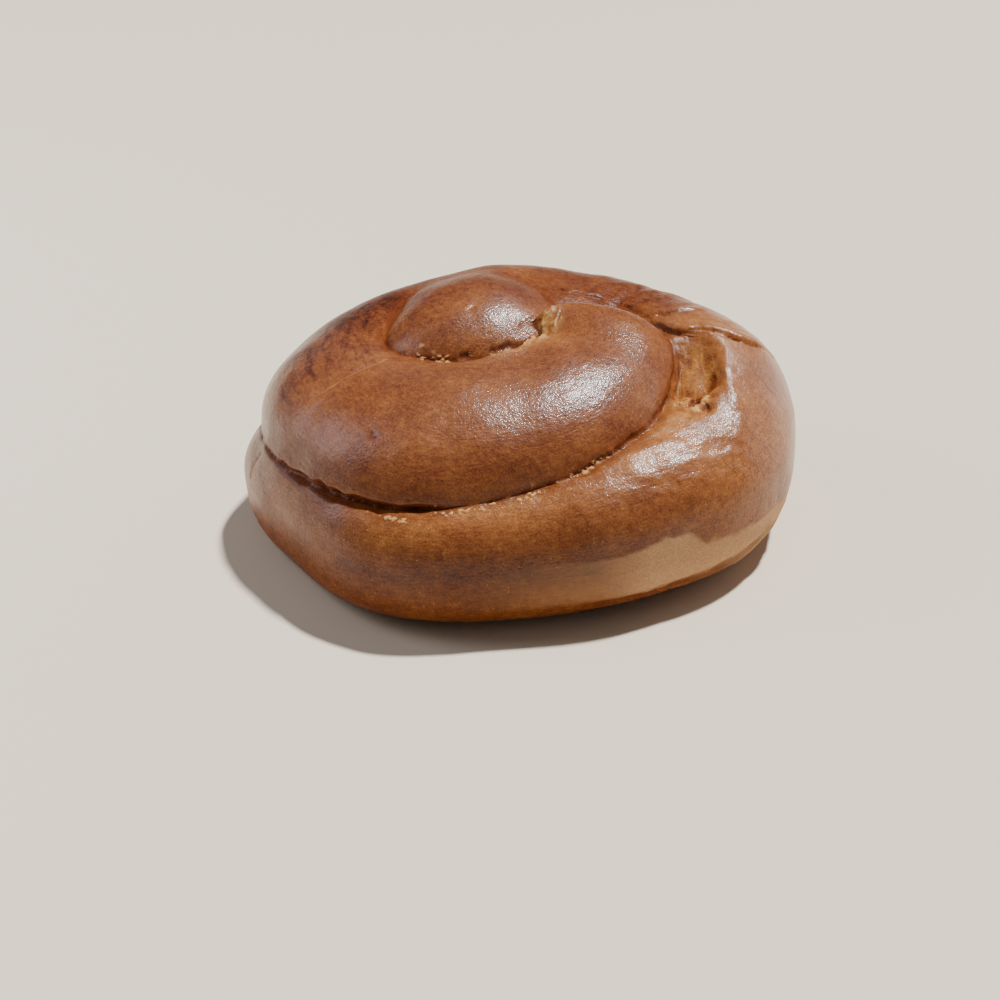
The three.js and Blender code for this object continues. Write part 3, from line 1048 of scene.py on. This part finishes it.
def add_patterns(tree, place):
    """The crust's patterns by name, and the blisters: pale dots low on the rope, in groups."""
    strand = add_node(tree, "ShaderNodeAttribute", {}, "Vector", attribute_name="strand")
    ways = {
        "place": place,
        "strand": add_node(tree, "ShaderNodeVectorMath", {0: strand, 1: STRETCH}, operation="MULTIPLY"),
    }
    patterns = {}
    for name, (way, apart, copies, strength) in PATTERNS.items():
        patterns[name] = add_node(tree, "ShaderNodeTexNoise", {
            "Vector": ways[way],
            "Scale": 1 / (apart * MM),
            "Detail": copies,
            "Roughness": strength,
        })
    dots = add_node(tree, "ShaderNodeTexVoronoi", {"Vector": place, "Scale": 1 / (BLISTERS_APART * MM)})
    height = add_node(tree, "ShaderNodeSeparateXYZ", {0: place}, "Z")
    blisters = 1.0
    for value, (none, whole) in (
        (dots, BLISTER_EDGES),
        (patterns["groups"], GROUP_EDGES),
        (height, (BLISTERS_END * MM, BLISTERS_WHOLE * MM)),
    ):
        share = add_node(tree, "ShaderNodeMapRange", {0: value, 1: none, 2: whole})
        blisters = add_node(tree, "ShaderNodeMath", {0: blisters, 1: share}, operation="MULTIPLY")
    patterns["blisters"] = blisters
    none, whole = STREAK_EDGES
    patterns["streaks"] = add_node(
        tree, "ShaderNodeMapRange", {0: patterns["streaks"], 1: none, 2: whole}
    )
    return patterns


def glazed_and_torn(tree, notes, patterns, settings):
    """The glazed crust's colour, by how brown it has baked and is painted with shade and light, and
    that of torn dough, by how pale its fibres are."""
    shade = notes["browned"]
    for name, low, high, swing in SHADINGS:
        change = add_node(
            tree, "ShaderNodeMapRange", {0: patterns[name], 1: low, 2: high, 3: -swing, 4: swing}
        )
        shade = add_node(tree, "ShaderNodeMath", {0: shade, 1: change}, operation="ADD")
    scorching = add_node(
        tree, "ShaderNodeMath", {0: patterns["streaks"], 1: SCORCHING}, operation="MULTIPLY"
    )
    scorching = add_node(
        tree, "ShaderNodeMath", {0: notes["scorched"], 1: scorching}, operation="MULTIPLY"
    )
    shade = add_node(
        tree, "ShaderNodeMath", {0: shade, 1: scorching}, operation="ADD", use_clamp=True
    )
    change = add_node(tree, "ShaderNodeMapRange", {
        0: patterns["fine grain"], 1: 0.25, 2: 0.75, 3: -TORN_SHADING, 4: TORN_SHADING,
    })
    paler = add_node(
        tree, "ShaderNodeMath", {0: notes["pale"], 1: change}, operation="ADD", use_clamp=True
    )
    baked = (
        (0.05, linear(GOLDEN)),
        (0.32, linear(AMBER)),
        (0.55, (*settings.crust_color, 1)),
        (0.78, linear(CHESTNUT)),
        (1.0, linear(BURNT)),
    )
    fibres = ((0.1, linear(TORN_DARK)), (0.5, linear(TORN_MIDDLE)), (0.95, linear(TORN_PALE)))
    colours = []
    for share, stops in ((shade, baked), (paler, fibres)):
        colour = add_node(tree, "ShaderNodeValToRGB", {0: share})
        elements = colour.node.color_ramp.elements
        elements[0].position, elements[0].color = stops[0]
        elements[1].position, elements[1].color = stops[-1]
        for position, tint in stops[1:-1]:
            elements.new(position).color = tint
        colours.append(colour)
    return colours


def crust_color(tree, notes, patterns, settings):
    """The colour of the crust: glazed, with torn, bare and crumbled dough and crevices darkened with
    painted shade.
    """
    colour, torn = glazed_and_torn(tree, notes, patterns, settings)
    none, whole = BARE_EDGES
    grainy = add_node(
        tree, "ShaderNodeMapRange", {0: patterns["fine grain"], 1: none, 2: whole}
    )
    # The crevices' streaked dark red-brown: pooled glaze with painted shade.
    bare, pit = (
        add_node(
            tree, "ShaderNodeMix", {0: share, 6: linear(one), 7: linear(other)}, 2, data_type="RGBA"
        )
        for share, one, other in (
            (grainy, BARE_DARK, BARE_PALE),
            (patterns["streaks"], PIT, PIT_PALE),
        )
    )
    for over, where, strength in (
        (torn, notes["torn"], 0.95),
        (bare, notes["bare"], 0.92),
        (pit, notes["crevice"], 0.8),
        (linear(CRUMB_PALE), notes["crumb"], 0.8),
        (linear(CRUMB_PALE), patterns["blisters"], 0.4),
    ):
        share = add_node(tree, "ShaderNodeMath", {0: where, 1: strength}, operation="MULTIPLY")
        colour = add_node(
            tree, "ShaderNodeMix", {0: share, 6: colour, 7: over}, 2, data_type="RGBA"
        )
    return colour


def crust_bump(tree, patterns):
    """How the crust's fine relief turns its surface."""
    height = 0.0
    for name, high in BUMPS.items():
        rise = add_node(tree, "ShaderNodeMath", {0: patterns[name], 1: high}, operation="MULTIPLY")
        height = add_node(tree, "ShaderNodeMath", {0: height, 1: rise}, operation="ADD")
    return add_node(tree, "ShaderNodeBump", {"Height": height, "Distance": MM, "Strength": 1.0})


def crust_material(settings):
    """Egg-washed crust: sugars and egg browned in the oven under a thin clear glaze. It looks like
    varnished leather: brown, deeper where it baked hardest, with a broad sheen broken up by fine
    blisters. Torn dough has less glaze, so it is duller, and it is pale and golden."""
    material = bpy.data.materials.new("crust")
    material.use_nodes = True
    tree = material.node_tree
    shader = tree.nodes["Principled BSDF"]
    notes = {
        name: add_node(tree, "ShaderNodeAttribute", {}, "Fac", attribute_name=name)
        for name in NOTES
    }
    patterns = add_patterns(tree, add_node(tree, "ShaderNodeTexCoord", {}, "Object"))
    dry = add_node(
        tree, "ShaderNodeMath", {0: notes["torn"], 1: TORN_DRYNESS}, operation="MULTIPLY"
    )
    for name in ("bare", "crumb"):
        dry = add_node(tree, "ShaderNodeMath", {0: dry, 1: notes[name]}, operation="MAXIMUM")
    roughness, coat, sheen = (
        add_node(tree, "ShaderNodeMapRange", {0: share, 1: 0, 2: 1, 3: low, 4: high})
        for share, (low, high) in ((dry, ROUGHNESS), (dry, COAT), (notes["glaze"], SHEEN))
    )
    coat = add_node(tree, "ShaderNodeMath", {0: notes["glaze"], 1: coat}, operation="MULTIPLY")
    bump = crust_bump(tree, patterns)
    for name, value in (
        ("Base Color", crust_color(tree, notes, patterns, settings)),
        ("Roughness", roughness),
        ("Specular IOR Level", sheen),
        ("Coat Weight", coat),
        ("Normal", bump),
        ("Coat Normal", bump),
    ):
        tree.links.new(value, shader.inputs[name])
    shader.inputs["Coat Roughness"].default_value = COAT_ROUGHNESS
    shader.inputs["Coat IOR"].default_value = COAT_IOR
    return material


# ---------------------------------------------------------------- the add-on


class ChallahSettings(bpy.types.PropertyGroup):
    grain: bpy.props.FloatProperty(
        name="Grain", description="Size of the mesh's squares", default=1.6 * MM, unit="LENGTH"
    )
    crust_color: bpy.props.FloatVectorProperty(
        name="Crust", description="Colour of the browned crust", subtype="COLOR", size=3,
        default=linear(BROWN)[:3],
    )


class CHALLAH_OT_loaf(bpy.types.Operator):
    """Build the loaf from one coiled rope of dough"""

    bl_idname = "challah.loaf"
    bl_label = "Bake the loaf"

    def execute(self, context):
        settings = context.scene.challah
        loaf = raise_dough(settings)
        refine(loaf, detailed)
        refine(loaf, finest)
        bake(loaf)
        only(loaf)
        bpy.ops.object.shade_smooth()
        write_places(loaf, read_places(loaf) - LOAF_MIDDLE)
        loaf.data.materials.append(crust_material(settings))
        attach(loaf, "root")
        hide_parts("challah")
        return {"FINISHED"}


# Where the camera stands, in metres, how far it looks down and leans over, in degrees, and its
# lens and sensor in millimetres.
CAMERA_PLACE = (-0.0084, -0.7034, 0.403)
CAMERA_PITCH = 29.5
CAMERA_ROLL = -1.207
CAMERA_LENS = 66.3
CAMERA_SENSOR = 36

# The light that throws the shadows: the way to it, its power, and how wide it looks, in degrees.
KEY_DIRECTION = Vector((0.34, 0.28, 0.895))
KEY_POWER = 6.8
KEY_WIDTH = 4

# Each panel's place, power, width, height and colour: a tall one at the left, a low one at the
# right. They face a place in the loaf. The room's own light comes evenly from all round.
PANELS = (
    ((-0.92, 0.12, 0.62), 5.0, 0.45, 0.9, "F4F4FF"),
    ((1.0, 0.55, 0.25), 4.0, 0.9, 0.8, "FFF4E8"),
)
PANELS_AIM = Vector((0, 0, 0.05))
ROOM_LIGHT = 0.155

FLOOR_WIDTH = 12
FLOOR_COLOR = "DACDB8"
FLOOR_ROUGHNESS = 0.9


def floor_material():
    """Uncoated paper, rolled out as a backdrop: pale and matt, so it shows the loaf's shadow and
    no reflection of it."""
    material = bpy.data.materials.new("floor")
    material.use_nodes = True
    shader = material.node_tree.nodes["Principled BSDF"]
    shader.inputs["Base Color"].default_value = linear(FLOOR_COLOR)
    shader.inputs["Roughness"].default_value = FLOOR_ROUGHNESS
    return material


class CHALLAH_OT_stage(bpy.types.Operator):
    """Lay the floor and set the lights and the camera"""

    bl_idname = "challah.stage"
    bl_label = "Set the stage"

    def execute(self, context):
        scene = context.scene
        bpy.ops.mesh.primitive_plane_add(size=FLOOR_WIDTH)
        floor = context.object
        floor.name = "floor"
        floor.data.materials.append(floor_material())
        bpy.ops.object.light_add(type="SUN")
        key = context.object
        key.data.energy = KEY_POWER
        key.data.angle = math.radians(KEY_WIDTH)
        key.rotation_euler = KEY_DIRECTION.to_track_quat("Z", "Y").to_euler()
        world = bpy.data.worlds.new("studio")
        world.use_nodes = True
        background = world.node_tree.nodes["Background"]
        background.inputs["Color"].default_value = (1, 1, 1, 1)
        background.inputs["Strength"].default_value = ROOM_LIGHT
        scene.world = world
        for place, energy, width, height, tint in PANELS:
            bpy.ops.object.light_add(type="AREA", location=place)
            panel = context.object
            panel.data.energy = energy
            panel.data.shape = "RECTANGLE"
            panel.data.size = width
            panel.data.size_y = height
            panel.data.color = linear(tint)[:3]
            aim = Vector(place) - PANELS_AIM
            panel.rotation_euler = aim.to_track_quat("Z", "Y").to_euler()
        bpy.ops.object.camera_add(location=CAMERA_PLACE)
        camera = context.object
        tilt = Matrix.Rotation(math.radians(90 - CAMERA_PITCH), 4, "X")
        roll = Matrix.Rotation(math.radians(CAMERA_ROLL), 4, "Z")
        camera.rotation_euler = (tilt @ roll).to_euler()
        camera.data.lens = CAMERA_LENS
        camera.data.sensor_width = CAMERA_SENSOR
        scene.camera = camera
        return {"FINISHED"}


class CHALLAH_PT_panel(bpy.types.Panel):
    bl_idname = "CHALLAH_PT_panel"
    bl_label = "Challah"
    bl_space_type = "VIEW_3D"
    bl_region_type = "UI"
    bl_category = "Challah"

    def draw(self, context):
        for name in ChallahSettings.__annotations__:
            self.layout.prop(context.scene.challah, name)
        self.layout.operator(CHALLAH_OT_loaf.bl_idname)
        self.layout.operator(CHALLAH_OT_stage.bl_idname)


CLASSES = (ChallahSettings, CHALLAH_OT_loaf, CHALLAH_OT_stage, CHALLAH_PT_panel)


def register():
    for kind in CLASSES:
        bpy.utils.register_class(kind)
    bpy.types.Scene.challah = bpy.props.PointerProperty(type=ChallahSettings)


def unregister():
    del bpy.types.Scene.challah
    for kind in reversed(CLASSES):
        bpy.utils.unregister_class(kind)


def main():
    register()
    bpy.ops.challah.loaf()
    bpy.ops.challah.stage()


if __name__ == "__main__":
    main()
